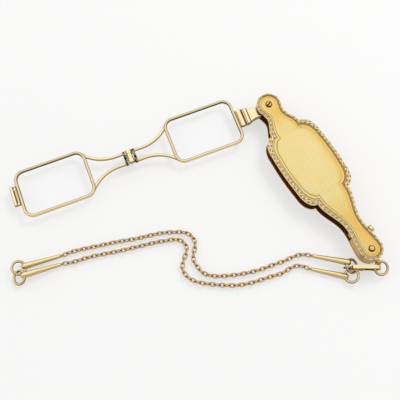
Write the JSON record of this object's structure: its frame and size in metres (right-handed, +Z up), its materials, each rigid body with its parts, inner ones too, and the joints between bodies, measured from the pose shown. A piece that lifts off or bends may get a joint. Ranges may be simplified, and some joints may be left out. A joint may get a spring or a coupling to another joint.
{
  "type": "folding lorgnette",
  "caption": "Folding lorgnette: a shaped flat case with a sprung catch, lenses that fold at the bridge and swing out of its side, a ring, a clip and a neck chain.",
  "frame": {"origin": "on the pivot screw's axis, at its flush lower end, in the plane that the case's back border rests on", "axes": "+Z up, out of the case's front and along the pivot; -Y along the case from the pivot to the ring; +X to the case's closed side, so the open pair of lenses points to -X"},
  "size_m": [0.1359, 0.1123, 0.0081],
  "materials": {
    "polished_gold": "polished, worn gold",
    "engraved_panel": "engine-turned basket pattern, soft shine",
    "chased_border": "chased leaves, darkened in the hollows",
    "case_wall": "plain, satin",
    "working_parts": "plain, satin",
    "chain_gold": "worn links, slightly darker",
    "lens_glass": "clear, polished"
  },
  "bodies": {
    "case": {"back_plate": "engraved_panel", "back_border": "chased_border", "front_plate": "engraved_panel", "front_border": "chased_border", "side_wall": "case_wall", "case_eye": "case_wall", "pivot_screw": "polished_gold", "pivot_bush": "working_parts", "pivot_washers": "working_parts", "bottom_rivet": "polished_gold", "catch_spring": "working_parts", "clip_body": "polished_gold", "clip_pin": "working_parts", "ring_a": "polished_gold", "ring_b": "polished_gold", "ring_c": "polished_gold", "ring_d": "polished_gold", "baton_upper_right": "polished_gold", "baton_upper_left": "polished_gold", "baton_lower_right": "polished_gold", "baton_lower_left": "polished_gold", "chain_upper": "chain_gold", "chain_lower": "chain_gold"},
    "near_pair": {"arm_shank": "polished_gold", "near_block": "polished_gold", "near_screws": "polished_gold", "near_rim": "polished_gold", "near_lens": "lens_glass", "near_bridge": "polished_gold", "hinge_pin": "polished_gold", "hinge_cap": "polished_gold"},
    "far_pair": {"far_bridge": "polished_gold", "far_rim": "polished_gold", "far_lens": "lens_glass", "far_block": "polished_gold", "far_screws": "polished_gold"},
    "catch": {"catch_lever": "working_parts", "catch_button": "polished_gold"},
    "gate": {"clip_gate": "polished_gold"},
    "swivel": {"clip_swivel": "polished_gold"},
    "ring": {"case_ring": "polished_gold"}
  },
  "joints": [
    {"name": "arm_swing", "type": "hinge", "parent": "case", "child": "near_pair", "pos_m": [0, 0, 0.00373], "axis": [0, 0, 1], "range_deg": [0, 80], "stiffness_Nm_per_rad": 0.0006, "springref_deg": -22.92},
    {"name": "bridge_fold", "type": "hinge", "parent": "near_pair", "child": "far_pair", "pos_m": [-0.05963, 0.01159, 0.00425], "axis": [0.1908, 0.9816, 0], "range_deg": [0, 180], "stiffness_Nm_per_rad": 0.0002, "springref_deg": -22.92},
    {"name": "catch_press", "type": "hinge", "parent": "case", "child": "catch", "pos_m": [0, -0.0713, 0.00373], "axis": [0, 0, 1], "range_deg": [0, 7], "stiffness_Nm_per_rad": 0.02, "springref_deg": -11.46, "deforming": ["catch_spring"]},
    {"name": "clip_gate_open", "type": "hinge", "parent": "case", "child": "gate", "pos_m": [-0.00601, -0.07561, 0.00173], "axis": [-0.5377, -0.8424, 0.0349], "range_deg": [0, 20], "stiffness_Nm_per_rad": 0.001, "springref_deg": -11.46},
    {"name": "clip_swivel_turn", "type": "hinge", "parent": "case", "child": "swivel", "pos_m": [-0.01119, -0.07225, 0.00324], "axis": [0.8431, -0.5375, 0.0151], "range_deg": [-8, 15]},
    {"name": "ring_swing", "type": "hinge", "parent": "case", "child": "ring", "pos_m": [0, -0.07685, 0.00373], "axis": [1, 0, 0], "range_deg": [-2, 8]}
  ]
}
